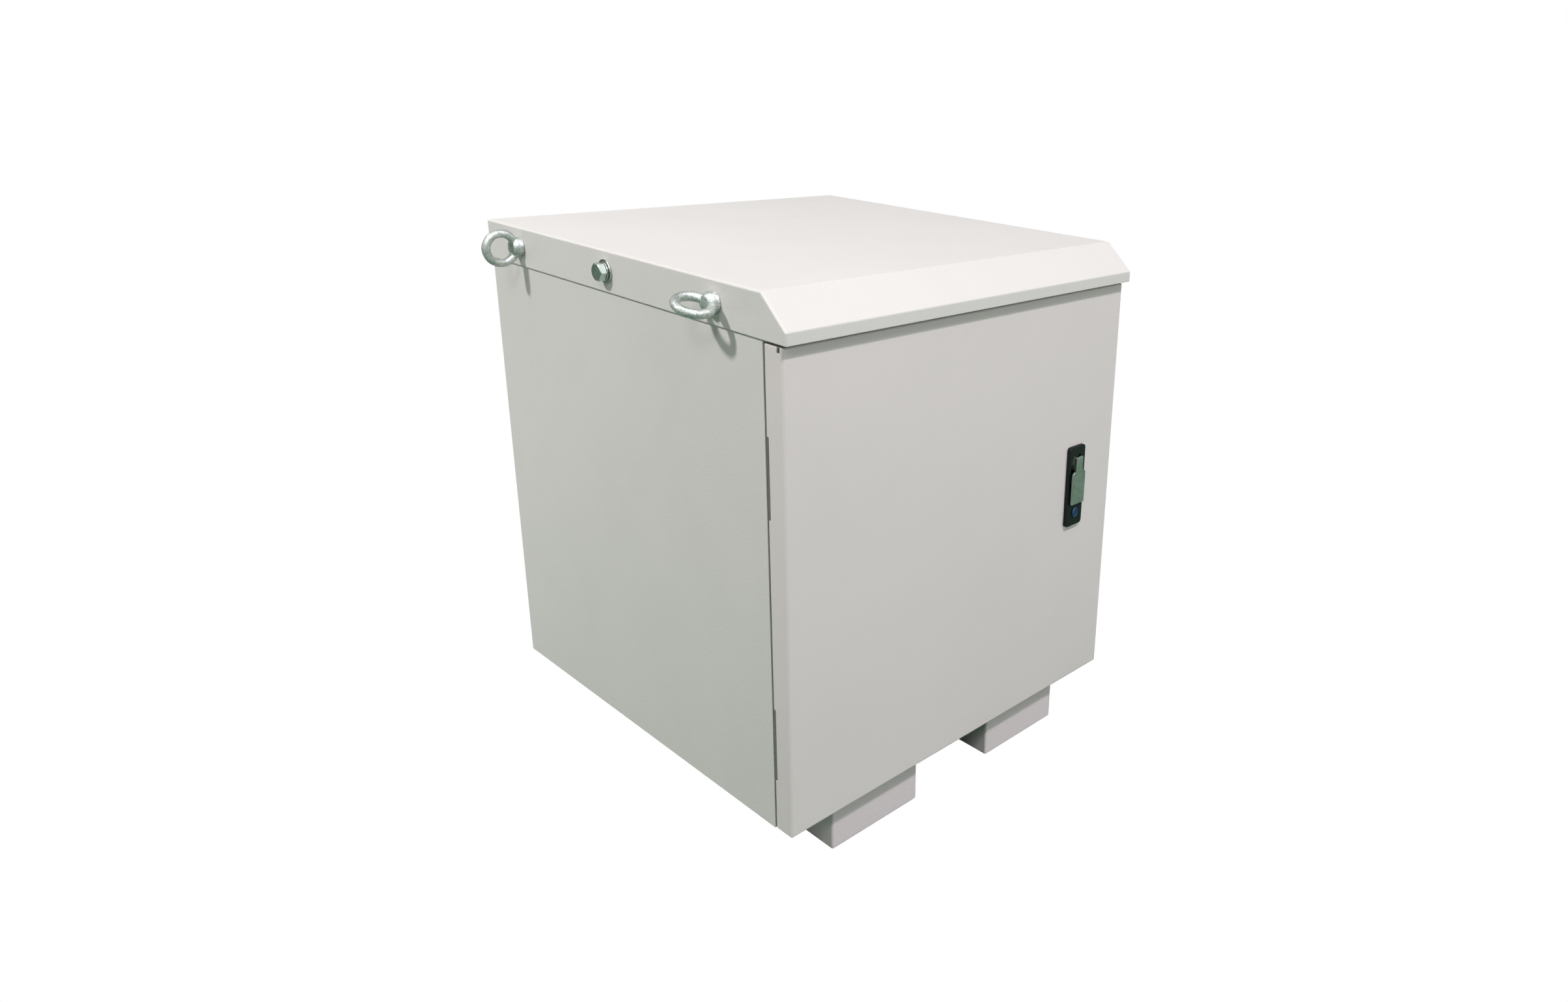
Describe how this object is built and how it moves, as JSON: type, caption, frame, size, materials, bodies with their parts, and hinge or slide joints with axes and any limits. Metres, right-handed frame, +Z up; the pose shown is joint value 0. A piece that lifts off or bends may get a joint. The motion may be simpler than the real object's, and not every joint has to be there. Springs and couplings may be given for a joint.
{
  "type": "outdoor power cabinet",
  "caption": "Floor-standing outdoor steel power cabinet on skids, with a hinged locking door, lifting eyes and a dry-type transformer with switchgear inside.",
  "frame": {"origin": "middle of the floor area under the whole object, at the skids' undersides", "axes": "+Z up, -Y is the door side, +X is the lock side"},
  "size_m": [0.6482, 0.6026, 0.677],
  "materials": {
    "powder_coat": "fine orange-peel light-grey powder coat",
    "skid_coat": "matt lilac-grey paint",
    "zinc": "bright zinc plate",
    "forged_zinc": "rough hot-dip zinc on a forging",
    "chrome": "polished",
    "black_case": "satin black die-cast coating",
    "rubber": "matt",
    "blue_plastic": "satin",
    "core_steel": "laminated, varnished",
    "coil_resin": "cast resin over copper winding",
    "device_grey": "moulded",
    "can_metal": "drawn can",
    "brass": "turned"
  },
  "bodies": {
    "cabinet": {"left_panel": "powder_coat", "right_panel": "powder_coat", "rear_panel": "powder_coat", "floor_plate": "powder_coat", "front_frame": "powder_coat", "roof": "powder_coat", "left_skid": "skid_coat", "right_skid": "skid_coat", "left_front_eye_bolt": "forged_zinc", "left_rear_eye_bolt": "forged_zinc", "right_front_eye_bolt": "forged_zinc", "right_rear_eye_bolt": "forged_zinc", "left_side_bolt": "zinc", "left_flat_washer": "zinc", "left_spring_washer": "zinc", "left_lifting_rail": "zinc", "right_side_bolt": "zinc", "right_flat_washer": "zinc", "right_spring_washer": "zinc", "right_lifting_rail": "zinc", "mounting_plate": "zinc", "din_rail": "zinc", "lower_front_clamp": "zinc", "lower_rear_clamp": "zinc", "upper_front_clamp": "zinc", "upper_rear_clamp": "zinc", "lower_hinge_fixed_leaf": "zinc", "lower_hinge_pin": "zinc", "upper_hinge_fixed_leaf": "zinc", "upper_hinge_pin": "zinc", "terminal_block": "black_case", "cable_gland_1": "black_case", "cable_gland_2": "black_case", "cable_gland_3": "black_case", "transformer_core": "core_steel", "coil_1": "coil_resin", "coil_2": "coil_resin", "coil_3": "coil_resin", "breaker": "device_grey", "control_unit": "device_grey", "capacitor_1": "can_metal", "capacitor_2": "can_metal", "earth_stud": "brass"},
    "door": {"door": "powder_coat", "door_seal": "rubber", "lock_case": "black_case", "lock_seal": "rubber", "lock_clamp": "zinc", "key_cap": "blue_plastic", "lower_hinge_moving_leaf": "zinc", "upper_hinge_moving_leaf": "zinc"},
    "spindle": {"lock_spindle": "zinc", "paddle_pin": "zinc", "lock_cam": "zinc", "lock_nut": "zinc"},
    "paddle": {"lock_paddle": "chrome"},
    "key": {"key_cylinder": "blue_plastic"},
    "toggle": {"breaker_toggle": "black_case"}
  },
  "joints": [
    {"name": "door_hinge", "type": "hinge", "parent": "cabinet", "child": "door", "pos_m": [-0.2675, -0.27625, 0.069], "axis": [0, 0, -1], "range_deg": [0, 110]},
    {"name": "spindle_turn", "type": "hinge", "parent": "door", "child": "spindle", "pos_m": [0.1951, -0.29655, 0.397], "axis": [0, 1, 0], "range_deg": [0, 90]},
    {"name": "paddle_lift", "type": "hinge", "parent": "spindle", "child": "paddle", "pos_m": [0.1951, -0.29905, 0.4043], "axis": [-1, 0, 0], "range_deg": [0, 60]},
    {"name": "key_turn", "type": "hinge", "parent": "door", "child": "key", "pos_m": [0.1951, -0.29655, 0.327], "axis": [0, 1, 0], "range_deg": [0, 90]},
    {"name": "toggle_throw", "type": "hinge", "parent": "cabinet", "child": "toggle", "pos_m": [-0.11, -0.03535, 0.46], "axis": [1, 0, 0], "range_deg": [0, 50]}
  ]
}
